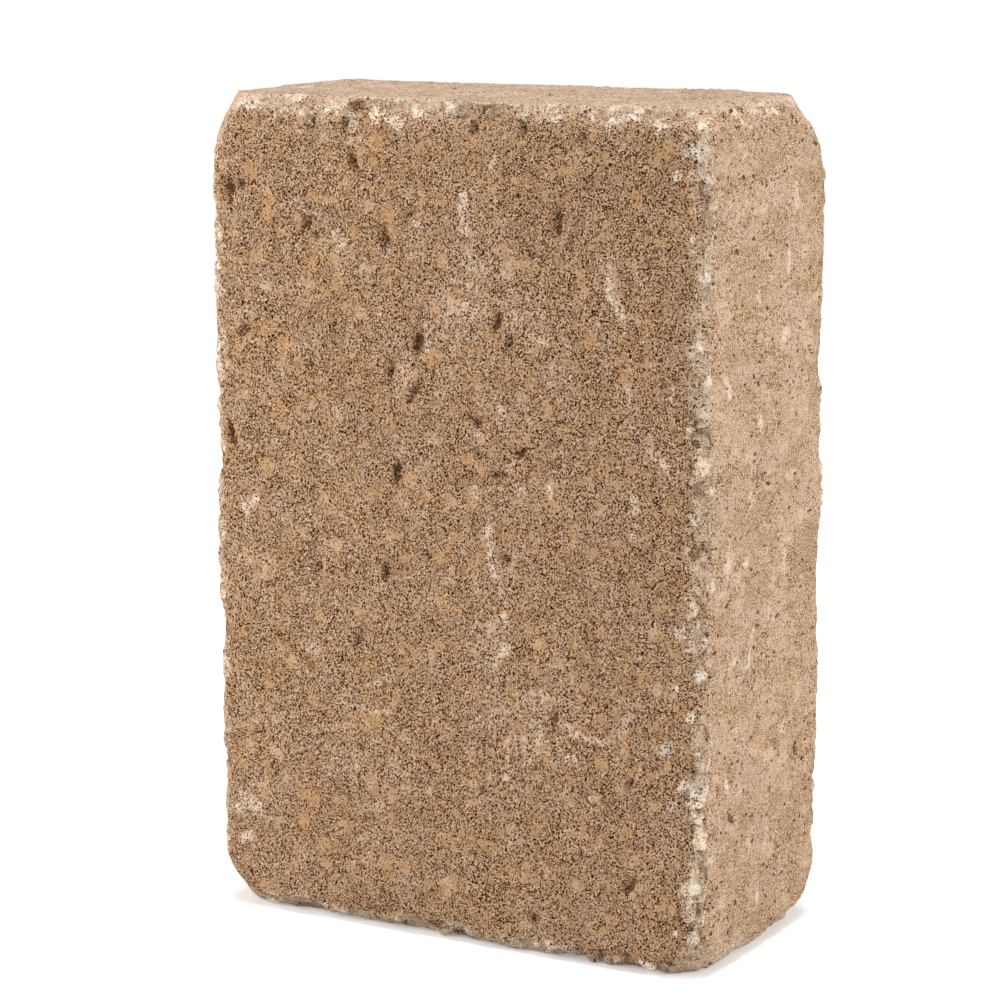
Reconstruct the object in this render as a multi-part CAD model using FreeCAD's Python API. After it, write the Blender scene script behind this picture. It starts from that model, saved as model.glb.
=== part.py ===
import FreeCAD, Part
import math
import os

# A tumbled retaining wall block: one piece of pressed concrete that stands on one of its ends.
# Z runs up its length, X across its width and Y through its thickness, in millimetres.
# The origin is the middle of the end that it stands on, and the front is the wide side towards -Y.
# The block starts as a sharp box. Tumbling then wears its arrises, knocks its corners off
# and bites chips out of the arrises, in that order. Last come the gashes in its sides, where
# the dry mix tore in the mould.

Vector = FreeCAD.Vector

# Driving dimensions
length = 266.7
width = 177.8
thickness = 88.9

# How far a cutting tool stands outside the block, so that it cuts cleanly through
clear_of_block = thickness / 8

# The outward direction of each side
SIDES = {
    "left": Vector(-1, 0, 0),
    "right": Vector(1, 0, 0),
    "front": Vector(0, -1, 0),
    "back": Vector(0, 1, 0),
    "bottom": Vector(0, 0, -1),
    "top": Vector(0, 0, 1),
}

# The rounds that tumbling wears on each arris. Each is a straight round: its radius, and the
# angle at which it meets the flats at the arris's low end and at its high end, in degrees.
# The smaller the angle, the deeper the wear. Low and high are by X, Y or Z, whichever the
# arris runs along. Where two rounds cross, the arris is bent like the worn rim of a pebble.
ARRIS_ROUNDS = {
    ("front", "left"): ((7.5, 14.0, 38.0), (7.8, 36.0, 13.0)),
    ("front", "right"): ((8.2, 13.0, 32.0), (8.6, 30.0, 14.0)),
    ("back", "left"): ((7.0, 13.0, 34.0), (7.6, 32.0, 14.0)),
    ("back", "right"): ((7.2, 13.0, 38.0), (6.6, 36.0, 15.0)),
    ("front", "bottom"): ((9.6, 12.0, 41.0), (7.8, 44.0, 15.0)),
    ("front", "top"): ((8.4, 16.0, 36.0), (8.8, 30.0, 13.0)),
    ("back", "bottom"): ((7.4, 14.0, 36.0), (8.6, 38.0, 14.0)),
    ("back", "top"): ((4.8, 14.0, 30.0), (7.6, 44.0, 15.0)),
    ("left", "bottom"): ((8.4, 13.0, 30.0), (7.2, 30.0, 14.0)),
    ("right", "bottom"): ((8.4, 14.0, 24.0), (8.8, 26.0, 13.0)),
    ("left", "top"): ((6.4, 14.0, 28.0), (5.6, 26.0, 15.0)),
    ("right", "top"): ((8.4, 13.0, 30.0), (8.8, 30.0, 13.0)),
}

# Each knocked corner: how far the break reaches from the sharp corner along X, Y and Z,
# and how far the broken face bulges in its middle.
CORNER_KNOCKS = {
    ("left", "front", "bottom"): (26.0, 24.0, 34.0, 6.0),
    ("left", "front", "top"): (18.0, 20.0, 30.0, 2.0),
    ("right", "front", "bottom"): (23.0, 22.0, 21.0, 2.6),
    ("right", "front", "top"): (17.0, 16.0, 18.0, 2.6),
    ("right", "back", "bottom"): (23.0, 28.0, 26.0, 3.6),
    ("right", "back", "top"): (21.0, 33.0, 42.0, 5.6),
    ("left", "back", "bottom"): (21.0, 18.0, 25.0, 3.4),
    ("left", "back", "top"): (15.0, 17.0, 16.0, 2.4),
}

# Chips and hollows in each arris: where along it, as a share of its length from its low end,
# how deep below the sharp arris, the radius of the scoop, and how far the scoop leans
# from the middle of the arris towards the first-named side, in degrees.
ARRIS_CHIPS = {
    ("front", "left"): (
        (0.27, 3.4, 9.0, -8.0),
        (0.365, 3.0, 32.0, 6.0),
        (0.445, 2.7, 14.0, 16.0),
        (0.60, 3.2, 150.0, 4.0),
        (0.83, 3.7, 22.0, 12.0),
    ),
    ("front", "right"): (
        (0.13, 4.6, 17.0, 10.0),
        (0.18, 3.9, 8.0, 18.0),
        (0.23, 3.8, 14.0, -8.0),
        (0.29, 4.0, 7.0, -4.0),
        (0.34, 4.6, 26.0, 14.0),
        (0.405, 4.0, 9.0, 8.0),
        (0.49, 3.9, 40.0, -10.0),
        (0.565, 4.0, 8.0, -14.0),
        (0.63, 4.4, 18.0, 9.0),
        (0.75, 3.7, 15.0, -12.0),
        (0.80, 3.9, 8.0, 6.0),
        (0.87, 4.6, 22.0, 12.0),
    ),
    ("back", "left"): (
        (0.21, 4.0, 20.0, 6.0),
        (0.46, 3.3, 60.0, -12.0),
        (0.78, 4.2, 24.0, 9.0),
    ),
    ("back", "right"): (
        (0.26, 3.0, 36.0, 12.0),
        (0.43, 3.9, 60.0, 4.0),
        (0.685, 4.4, 20.0, 4.0),
    ),
    ("front", "bottom"): (
        (0.19, 5.2, 18.0, -12.0),
        (0.31, 4.0, 8.0, 6.0),
        (0.42, 4.8, 13.0, -6.0),
        (0.53, 3.8, 9.0, 4.0),
        (0.66, 3.6, 16.0, 8.0),
        (0.82, 3.4, 50.0, 8.0),
    ),
    ("front", "top"): (
        (0.14, 4.4, 8.0, 14.0),
        (0.245, 5.4, 13.0, 22.0),
        (0.33, 4.2, 7.0, 10.0),
        (0.43, 5.8, 19.0, 24.0),
        (0.535, 4.6, 7.5, 26.0),
        (0.59, 4.2, 16.0, 14.0),
        (0.67, 4.4, 8.0, 16.0),
        (0.76, 5.0, 24.0, 20.0),
        (0.88, 4.4, 9.0, 12.0),
    ),
    ("back", "bottom"): (
        (0.28, 3.9, 18.0, 8.0),
        (0.61, 3.7, 70.0, -8.0),
    ),
    ("back", "top"): (
        (0.33, 2.3, 16.0, 12.0),
        (0.72, 3.0, 50.0, 10.0),
    ),
    ("left", "bottom"): ((0.52, 4.0, 16.0, 8.0),),
    ("right", "bottom"): (
        (0.37, 3.9, 15.0, 16.0),
        (0.68, 3.9, 24.0, 14.0),
    ),
    ("left", "top"): ((0.47, 3.2, 15.0, 8.0),),
    ("right", "top"): (
        (0.34, 4.4, 14.0, 12.0),
        (0.60, 3.8, 30.0, -8.0),
    ),
}

# The gashes in each side: where across it and up it, half the width and half the length, how
# far it leans from upright towards the positive end of its across axis, in degrees, and how
# deep. Across is along X, or along Y on the left and right. Up is along Z, or along Y on the
# two ends.
SIDE_GASHES = {
    "front": (
        (-10, 191, 1.7, 4.2, 3, 1.7),
        (39, 231, 1.4, 4.9, 4, 1.4),
        (-22, 118, 1.6, 3.5, 4, 1.6),
        (-18, 150, 1.6, 4.9, 1, 1.6),
        (-22, 223, 1.5, 4.4, -10, 1.5),
        (-51, 226, 1.6, 3.5, 30, 1.7),
        (18, 200, 1.4, 3.7, 23, 1.4),
        (10, 168, 1.4, 3.7, -43, 1.4),
        (26, 160, 1.4, 3.7, 61, 1.4),
        (-79, 236, 1.6, 3.7, 2, 1.6),
        (-80, 157, 1.5, 4.2, -15, 1.5),
        (-33, 95, 1.5, 3.2, 27, 1.5),
        (38, 77, 1.4, 3.5, 14, 1.4),
        (64, 28, 1.3, 3.5, 25, 1.3),
    ),
    "right": (
        (-23, 48, 1.6, 3.6, -32, 1.6),
        (-5, 153, 1.6, 3.2, -3, 1.6),
        (-13, 90, 1.4, 4.2, 26, 1.4),
        (24, 59, 1.5, 3.5, 5, 1.5),
    ),
    "back": (
        (-58, 214, 1.6, 4.3, 20, 1.7),
        (12, 226, 1.4, 4.5, -8, 1.4),
        (47, 196, 1.5, 3.6, 35, 1.5),
        (-31, 171, 1.6, 4.7, -14, 1.6),
        (24, 149, 1.4, 4.0, 6, 1.4),
        (-66, 124, 1.5, 3.6, -38, 1.5),
        (58, 108, 1.6, 4.0, 12, 1.7),
        (-8, 96, 1.4, 4.2, -24, 1.4),
        (-47, 55, 1.5, 3.5, 30, 1.5),
        (34, 42, 1.4, 4.2, -4, 1.4),
    ),
    "left": (
        (17, 201, 1.5, 3.7, 10, 1.5),
        (-14, 138, 1.4, 4.0, -20, 1.4),
        (9, 74, 1.6, 3.5, 32, 1.6),
    ),
    "top": ((-34, 12, 1.5, 3.5, 60, 1.5), (41, -9, 1.4, 3.7, -50, 1.4)),
    "bottom": ((-22, -14, 1.5, 3.5, -40, 1.5), (36, 15, 1.4, 3.7, 70, 1.4)),
}

middle = Vector(0, 0, length / 2)
half_size = Vector(width / 2, thickness / 2, length / 2)
spans = {0: width, 1: thickness, 2: length}


def reach(direction):
    """From the middle of the block to the side, or the sharp arris or corner, in that direction."""
    return Vector(
        direction.x * half_size.x, direction.y * half_size.y, direction.z * half_size.z
    )


class Arris:
    """The line where two sides of the sharp box meet, from its low end to its high end."""

    def __init__(self, sides):
        self.first, self.second = SIDES[sides[0]], SIDES[sides[1]]
        across = self.first.cross(self.second)
        self.along = Vector(abs(across.x), abs(across.y), abs(across.z))
        self.span = spans[(self.along.x, self.along.y, self.along.z).index(1)]
        self.low_end = middle + reach(self.first + self.second - self.along)

    def point(self, share, below_first=0.0, below_second=0.0):
        """A point at a share of the arris's length, so far below each of its two sides."""
        on_line = self.low_end + self.along * (self.span * share)
        return on_line - self.first * below_first - self.second * below_second


def arris_round(sides, radius, low_angle, high_angle):
    """What one straight round wears off an arris: a square strip along it, less a leaning cylinder."""
    arris = Arris(sides)
    low_depth = radius * math.cos(math.radians(low_angle))
    high_depth = radius * math.cos(math.radians(high_angle))
    low = arris.point(0, low_depth, low_depth)
    run = arris.point(1, high_depth, high_depth) - low
    past_the_ends = run * (2 * clear_of_block / arris.span)
    cylinder = Part.makeCylinder(
        radius, (run + past_the_ends * 2).Length, low - past_the_ends, run
    )
    inner, outer = max(low_depth, high_depth), -clear_of_block
    end = -clear_of_block / arris.span
    strip_corners = [
        arris.point(end, inner, inner),
        arris.point(end, outer, inner),
        arris.point(end, outer, outer),
        arris.point(end, inner, outer),
    ]
    strip_end = Part.Face(Part.makePolygon([*strip_corners, strip_corners[0]]))
    strip = strip_end.extrude(arris.along * (arris.span + 2 * clear_of_block))
    return strip.cut(cylinder)


def corner_knock(sides):
    """What breaks off one corner: all that lies past a plane through three points, less a bulge."""
    reach_x, reach_y, reach_z, bulge = CORNER_KNOCKS[sides]
    side_x, side_y, side_z = (SIDES[side] for side in sides)
    corner = middle + reach(side_x + side_y + side_z)
    rim = [corner - side_x * reach_x, corner - side_y * reach_y, corner - side_z * reach_z]
    circle = Part.Circle(*rim)
    outward = (rim[1] - rim[0]).cross(rim[2] - rim[0]).normalize()
    if outward.dot(corner - rim[0]) < 0:
        outward = outward * -1
    ball_radius = (circle.Radius**2 + bulge**2) / (2 * bulge)
    ball = Part.makeSphere(ball_radius, circle.Center - outward * (ball_radius - bulge))
    plate_size = reach_x + reach_y + reach_z
    plate = Part.makeCylinder(plate_size, plate_size, circle.Center, outward)
    return plate.cut(ball)


def arris_chip(sides, share, depth, scoop_radius, lean):
    """One scoop that reaches a depth below the sharp arris, leaning towards the first-named side."""
    arris = Arris(sides)
    angle = math.radians(45 + lean)
    outward = arris.first * math.sin(angle) + arris.second * math.cos(angle)
    return Part.makeSphere(scoop_radius, arris.point(share) + outward * (scoop_radius - depth))


def side_gash(side, across, up, half_width, half_length, lean, depth):
    """One torn slit in a side: a six-sided spike, whose tip is the deepest place of the slit."""
    outward = SIDES[side]
    across_axis = Vector(0, 1, 0) if outward.x else Vector(1, 0, 0)
    up_axis = Vector(0, 1, 0) if outward.z else Vector(0, 0, 1)
    centre = reach(outward) + across_axis * across + up_axis * up
    if outward.z:
        centre += middle
    angle = math.radians(lean)
    along = across_axis * math.sin(angle) + up_axis * math.cos(angle)
    beside = across_axis * math.cos(angle) - up_axis * math.sin(angle)
    tip = centre - outward * depth + along * (0.2 * half_length)
    rim = []
    for turn in range(0, 360, 60):
        turned = math.radians(turn)
        on_side = along * (half_length * math.cos(turned)) + beside * (half_width * math.sin(turned))
        rim.append(tip + (centre + on_side - tip) * 1.5)
    loops = [[tip, rim[corner - 1], rim[corner], tip] for corner in range(6)]
    loops.append([*rim, rim[0]])
    spike = Part.Solid(Part.Shell([Part.Face(Part.makePolygon(loop)) for loop in loops]))
    return spike if spike.Volume > 0 else spike.reversed()


def wall_block():
    block = Part.makeBox(width, thickness, length, Vector(-width / 2, -thickness / 2, 0))
    for sides, rounds in ARRIS_ROUNDS.items():
        for worn_round in rounds:
            block = block.cut(arris_round(sides, *worn_round))
    for sides in CORNER_KNOCKS:
        block = block.cut(corner_knock(sides))
    for sides, chips in ARRIS_CHIPS.items():
        block = block.cut([arris_chip(sides, *chip) for chip in chips])
    for side, gashes in SIDE_GASHES.items():
        block = block.cut([side_gash(side, *gash) for gash in gashes])
    return block.Solids[0]


os.makedirs("parts", exist_ok=True)
block = wall_block()
block.exportStep("parts/wall_block.step")
box = block.optimalBoundingBox(False)
print("valid", block.isValid(), "faces", len(block.Faces), "litres", round(block.Volume / 1e6, 3))
print("size", round(box.XLength, 2), round(box.YLength, 2), round(box.ZLength, 2))
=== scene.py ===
# %% [markdown]
# # A tumbled retaining wall block
# The real object is one lump of pressed, tan-coloured concrete. After it was cured it was
# tumbled in a drum with others, which rounded its arrises, knocked its corners off and left
# pale scuffs. The CAD model already has that shape. This lesson gives it its skin: sandy
# grain, pits, crumbled arrises with bare stones, and a finish that is mixed from the same
# things. First comes the frame, which holds the CAD model that everything here has to fit.

# %% Open the frame
import math

import bpy
import numpy as np
from mathutils import Matrix, Vector


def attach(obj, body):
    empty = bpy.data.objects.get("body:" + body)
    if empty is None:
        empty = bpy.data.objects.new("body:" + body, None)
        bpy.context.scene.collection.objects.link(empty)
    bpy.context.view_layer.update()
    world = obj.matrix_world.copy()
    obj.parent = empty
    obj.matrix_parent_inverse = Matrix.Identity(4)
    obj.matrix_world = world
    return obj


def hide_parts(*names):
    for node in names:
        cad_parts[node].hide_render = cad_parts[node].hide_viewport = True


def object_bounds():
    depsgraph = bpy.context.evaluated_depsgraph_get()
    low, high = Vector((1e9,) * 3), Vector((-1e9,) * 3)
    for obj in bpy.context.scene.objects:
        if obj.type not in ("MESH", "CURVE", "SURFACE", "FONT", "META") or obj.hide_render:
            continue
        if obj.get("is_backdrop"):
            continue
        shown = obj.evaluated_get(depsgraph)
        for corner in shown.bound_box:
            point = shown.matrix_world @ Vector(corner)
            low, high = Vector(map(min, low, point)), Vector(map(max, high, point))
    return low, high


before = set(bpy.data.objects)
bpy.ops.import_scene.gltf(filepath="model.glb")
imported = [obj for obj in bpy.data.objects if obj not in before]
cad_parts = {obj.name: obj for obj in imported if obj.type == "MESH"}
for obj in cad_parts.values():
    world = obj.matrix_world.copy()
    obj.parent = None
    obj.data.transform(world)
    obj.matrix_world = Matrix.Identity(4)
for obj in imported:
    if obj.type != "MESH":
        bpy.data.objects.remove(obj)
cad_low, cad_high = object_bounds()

MM = 0.001
cad_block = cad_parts["wall_block"]
block_size = cad_high - cad_low
block_middle = (cad_low + cad_high) / 2
print("CAD block, mm:", [round(side / MM, 1) for side in block_size])

# %% [markdown]
# ## The camera
# The photograph was taken from a little to the right of the block's front and a little above
# its top, with a long lens. A camera is easiest to place by what a photographer would say:
# how far round, how far up, how far away, and how far the aim is off the block's middle.
# The lens is worked out for a picture as wide as it is high.

# %% Place the camera
camera_turn, camera_rise, camera_roll = (math.radians(a) for a in (29.63, 10.83, -0.17))
camera_distance = 1.050
camera_aim_right, camera_aim_up = -5.5 * MM, 2.3 * MM

towards_camera = Vector(
    (
        math.sin(camera_turn) * math.cos(camera_rise),
        -math.cos(camera_turn) * math.cos(camera_rise),
        math.sin(camera_rise),
    )
)
level_right = Vector((math.cos(camera_turn), math.sin(camera_turn), 0))
level_up = towards_camera.cross(level_right)
camera_right = level_right * math.cos(camera_roll) + level_up * math.sin(camera_roll)
camera_up = level_up * math.cos(camera_roll) - level_right * math.sin(camera_roll)

camera = bpy.data.objects.new("camera", bpy.data.cameras.new("camera"))
bpy.context.collection.objects.link(camera)
camera.data.sensor_width = 36
camera.data.lens = 117.35
camera_place = (
    block_middle
    + camera_right * camera_aim_right
    + camera_up * camera_aim_up
    + towards_camera * camera_distance
)
facing = Matrix((camera_right, camera_up, towards_camera)).transposed()
camera.matrix_world = Matrix.Translation(camera_place) @ facing.to_4x4()
bpy.context.scene.camera = camera
print("camera at, mm:", [round(c / MM) for c in camera_place])

# %% [markdown]
# ## A fine skin over the CAD shape
# The CAD faces are few and large, so there is nothing in them to push in and out, and to
# subdivide them would give long slivers. A mosaic maker would lay an even skin of small tiles,
# and Blender's voxel remesh does just that. Tiles of 0.75 mm are small enough for a pit of
# 2 mm. There are far too many of them to keep, and a later step thins them out where the
# surface turns out to be plain.

# %% Lay the skin
tile = 0.75 * MM


def evaluated_copy(thing, name):
    """The mesh that an object shows, modifiers included, in the frame's own place."""
    bpy.context.view_layer.update()
    shown = thing.evaluated_get(bpy.context.evaluated_depsgraph_get())
    mesh = bpy.data.meshes.new_from_object(shown)
    mesh.transform(thing.matrix_world)
    mesh.name = name
    return mesh


skin = bpy.data.objects.new("weathered_block", evaluated_copy(cad_block, "cad_shape"))
bpy.context.collection.objects.link(skin)
tiling = skin.modifiers.new("tiling", "REMESH")
tiling.mode = "VOXEL"
tiling.voxel_size = tile
fine_skin = evaluated_copy(skin, "fine_skin")
skin.modifiers.remove(tiling)
skin.data = fine_skin
print("tiles in the fine skin:", len(fine_skin.polygons))

# %% [markdown]
# ## Where on the block is each point?
# The two wide sides were the top and bottom of the mould and came out open and sandy. The
# narrow sides and ends rubbed along the mould and came out tighter. And tumbling hurts most
# near an arris. So each point is asked which side it is on, and how far it is from the
# nearest arris. The distances to the six flats of the box answer both: the smallest tells
# the side, and the next one is the distance to the arris.

# %% Find each point's side and its distance from the arris


def smooth_step(start, end, value):
    """0 before start and 1 after end, with a soft rise between. start may be above end."""
    t = np.clip((value - start) / (end - start), 0, 1)
    return t * t * (3 - 2 * t)


count = len(fine_skin.vertices)
points = np.empty(count * 3)
fine_skin.vertices.foreach_get("co", points)
points = points.reshape(-1, 3) / MM
outward = np.empty(count * 3)
fine_skin.vertices.foreach_get("normal", outward)
outward = outward.reshape(-1, 3)

half_size_mm = np.array(block_size) / 2 / MM
middle_mm = np.array(block_middle) / MM
LEFT_RIGHT, FRONT_BACK, BOTTOM_TOP = 0, 1, 2


def below_flats(places):
    """How far each place is below the nearer flat across X, across Y and across Z, in mm."""
    return half_size_mm - np.abs(places - middle_mm)


depths = below_flats(points)
side_axis = depths.argmin(axis=1)
from_arris = np.sort(depths, axis=1)[:, 1]
near_arris = smooth_step(9.0, 2.0, from_arris)
print("share of points near an arris:", round(float(near_arris.mean()), 3))

# %% [markdown]
# ## Steady noise
# Concrete is random, but the block has to come out the same each time the script runs, and
# the same all round, with no seam. So the noise is a fixed scramble of each small cube of
# space. `lumps` blends the numbers at a cube's eight corners, which gives soft hills.
# `nearest_grain` drops one grain in each cube and finds the nearest, which gives round spots.

# %% Make the noise


def scramble(cubes, salt):
    """A steady number from 0 to 1 for each cube of space, a different one for each salt."""
    # Three large primes tell the cubes apart, and three rounds of stirring mix the bits
    n = cubes @ np.array([73856093, 19349663, 83492791]) + salt * 40503
    n = (n & 0xFFFFFFFF).astype(np.uint32)
    for shift, factor in ((16, 0x45D9F3B), (15, 0x2C1B3C6D), (16, 0x297A2D39)):
        n = (n ^ (n >> np.uint32(shift))) * np.uint32(factor)
    return (n ^ (n >> np.uint32(16))) / 2**32


def lumps(places, size, salt):
    """Soft hills from -1 to 1, about `size` mm from one to the next."""
    at = places / size
    cube = np.floor(at).astype(np.int64)
    t = at - cube
    t = t * t * (3 - 2 * t)
    total = np.zeros(len(places))
    for corner in np.ndindex(2, 2, 2):
        share = np.prod(np.where(corner, t, 1 - t), axis=1)
        total += share * scramble(cube + corner, salt)
    return total * 2 - 1


def nearest_grain(places, size, salt):
    """The distance to the nearest grain, in mm, and that grain's own number from 0 to 1."""
    at = places / size
    home = np.floor(at).astype(np.int64)
    nearest = np.full(len(places), np.inf)
    own_number = np.zeros(len(places))
    for step in np.ndindex(3, 3, 3):
        cube = home + np.array(step) - 1
        spot = np.stack([scramble(cube, salt + k) for k in range(3)], axis=1)
        away = np.linalg.norm(at - cube - spot, axis=1)
        closer = away < nearest
        nearest[closer] = away[closer]
        own_number[closer] = scramble(cube[closer], salt + 3)
    return nearest * size, own_number


print("a first look at the hills:", np.round(lumps(points[:4], 10, 1), 2))

# %% [markdown]
# ## The grain
# The pressed face isn't flat: it waves by a few tenths of a millimetre, and on top of that
# lie the coarser grains of sand. The narrow sides are tighter, so they get less of that. The
# change isn't a straight line along the arris: it wanders by a few millimetres.
# All relief is cut inwards, as depth below the CAD surface, so that the block never grows.

# %% Wave the faces and raise the sand
past_the_arris = np.minimum(depths[:, LEFT_RIGHT], depths[:, BOTTOM_TOP]) - depths[:, FRONT_BACK]
past_the_arris += 2.6 * lumps(points, 7, 15) + 1.4 * lumps(points, 2.6, 16)
on_wide_side = smooth_step(-2.5, 3.5, past_the_arris)
sandiness = 0.45 + 0.55 * on_wide_side
relief = 0.42 - 0.20 * lumps(points, 34, 11) - (0.30 - 0.16 * on_wide_side) * lumps(points, 14, 12)
relief -= sandiness * (0.24 * lumps(points, 3.4, 13) + 0.20 * lumps(points, 1.8, 14))
print("depth of the grain, mm:", round(float(relief.min()), 2), "to", round(float(relief.max()), 2))

# %% [markdown]
# ## The pits
# Where the dry mix didn't close up there are pits of 1 to 4 mm, more in some places than in
# others. A pit is a round scoop about a grain's place, and its rim is roughened by bending
# the distance with fine noise. Between the pits some of the face has crumbled away in shallow
# flakes, which are soft hills cut off. The few large gashes come later, one by one.

# %% Sink the pits


def scoop(distance, radius):
    """How deep a round scoop of that radius is at a distance from its middle, in mm."""
    return radius * np.sqrt(np.clip(1 - (distance / radius) ** 2, 0, 1))


ragged = 0.5 * lumps(points, 1.3, 21) + 0.4 * lumps(points, 2.6, 22)
crowding = 0.5 + 0.5 * lumps(points, 16, 23)

pit_away, pit_number = nearest_grain(points, 3.6, 31)
pit_radius = 0.6 + 2.0 * pit_number
has_pit = pit_number < (0.04 + 0.26 * crowding) * sandiness
pits = 0.9 * np.where(has_pit, scoop(pit_away + 0.8 * ragged, pit_radius), 0)
flakes = smooth_step(0.35, 0.80, lumps(points * [1, 1, 0.7], 4.4, 24)) * smooth_step(0.50, 0.85, crowding)
pits = np.maximum(pits, flakes * (0.3 + 0.6 * on_wide_side))
print("share of the skin in a pit:", round(float((pits > 0.2).mean()), 3))

# %% [markdown]
# ## The crumbled arrises
# On an arris the drum broke the crust off, so the surface there is coarse, like broken nougat.
# It is built from chunks: each grain of 5 mm stands for one, with its own depth and a rounded
# top, and its edges are bent by noise. Some chunks are stones of the mix, which get their
# own shade later, and the rest is paste. Patches of an arris that kept its crust stay even.
# How bare the arris is gets its own number for the finish: it fades out at about 8 mm, and is
# weaker on the narrow sides and where the arris has crumbled, since fresh breaks are sandy.

# %% Tear the arrises
bent = points + np.stack([1.5 * lumps(points, 3.2, 71 + k) for k in range(3)], axis=1)
chunk_away, chunk_number = nearest_grain(bent, 5.2, 75)
torn_patches = 0.25 + 0.75 * smooth_step(-0.40, 0.30, lumps(points, 15, 51))
torn = 1.6 * chunk_number**1.5 + 0.10 * chunk_away**2 + 0.40 * lumps(points, 1.9, 54)
crumbling = near_arris * torn_patches * np.clip(torn, 0, 3.2)
bareness = smooth_step(8.0, 1.5, from_arris + 3.2 * lumps(points, 7, 55) + 1.5 * lumps(points, 2.6, 56))
bareness *= 1 - 0.8 * smooth_step(0.7, 1.8, crumbling)
bareness *= np.where(side_axis == LEFT_RIGHT, 0.6, 1.0)
print("deepest tear, mm:", round(float(crumbling.max()), 2))

# %% [markdown]
# ## The marks that this block has
# Some marks make this block the one in the photograph: the gashes and scuffs on its front and
# right side, and the stones along its near arris and its upper one. They are placed one by one, in
# mm on their side. The other sides get marks of the same kinds, thrown by a steady random
# generator, because a tumbled block has no clean side. A gash is a torn slit, a scuff is a
# whitish rub. Both are written down alike: where the middle is, how wide and how long to
# either side of it, how far it leans from upright, and how deep or how strong it is.

# %% Write down the gashes
# Across, up, half width, half length, lean to the right in degrees, depth. The CAD block has
# the largest fourteen as plain slits already, so here they only get a ragged bottom.
front_gashes = [
    (-10, 191, 2.2, 4.6, 3, 0.8),
    (39, 231, 1.7, 5.6, 4, 0.8),
    (-22, 118, 1.9, 4.0, 4, 0.7),
    (-18, 150, 1.9, 5.6, 1, 0.8),
    (-22, 223, 1.8, 5.0, -10, 0.8),
    (-51, 226, 2.0, 4.0, 30, 0.8),
    (18, 200, 1.6, 4.2, 23, 0.6),
    (10, 168, 1.6, 4.2, -43, 0.6),
    (26, 160, 1.7, 4.2, 61, 0.6),
    (-79, 236, 2.0, 4.4, 2, 0.8),
    (-80, 157, 1.9, 4.8, -15, 0.6),
    (-33, 95, 1.8, 3.6, 27, 0.7),
    (38, 77, 1.6, 3.8, 14, 0.6),
    (64, 28, 1.5, 3.8, 25, 0.6),
    (-47, 223, 1.0, 1.6, -40, 1.5),
    (47, 258, 1.6, 2.3, -21, 1.6),
    (-12, 175, 1.2, 3.8, 35, 1.6),
    (-20, 181, 1.1, 4.6, 8, 1.6),
    (21, 126, 1.3, 2.2, -55, 1.5),
    (-33, 246, 1.1, 2.4, -22, 1.7),
    (-74, 238, 1.1, 2.1, -9, 1.6),
    (10, 259, 1.2, 2.5, 24, 1.8),
    (-51, 84, 1.1, 3.2, -25, 1.5),
    (23, 194, 1.2, 3.8, 2, 1.4),
    (-74, 191, 1.2, 3.4, 45, 1.5),
    (19, 152, 1.2, 2.4, 87, 1.3),
    (-36, 259, 1.2, 2.1, 25, 1.8),
    (-49, 258, 1.9, 2.6, 10, 2.2),
    (27, 259, 1.0, 3.2, 5, 1.6),
    (-13, 231, 1.2, 2.6, 52, 1.3),
    (-48, 117, 1.2, 1.6, 0, 1.6),
    (64, 60, 1.2, 3.0, 20, 1.5),
    (30, 13, 1.3, 2.2, -30, 1.6),
]
# The same on the right side, where across is along Y. The first four are in the solids too.
right_gashes = [
    (-23, 48, 1.9, 4.2, -32, 0.7),
    (-5, 153, 1.9, 3.8, -3, 0.7),
    (-13, 90, 1.6, 4.8, 26, 0.6),
    (24, 59, 1.8, 4.0, 5, 0.6),
    (-24, 61, 1.2, 1.4, 25, 1.4),
    (-33, 58, 1.5, 2.0, 0, 1.8),
    (-38, 24, 1.4, 2.6, 0, 1.9),
    (-22, 11, 2.2, 2.0, 0, 2.1),
    (8, 165, 1.0, 3.2, 28, 1.3),
    (9, 117, 0.9, 3.4, -3, 1.3),
    (-6, 182, 1.5, 1.7, -29, 1.4),
    (20, 30, 1.2, 2.0, 45, 1.5),
    (-33, 133, 1.1, 2.0, 10, 1.4),
]
print("gashes by hand:", len(front_gashes) + len(right_gashes))

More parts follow.
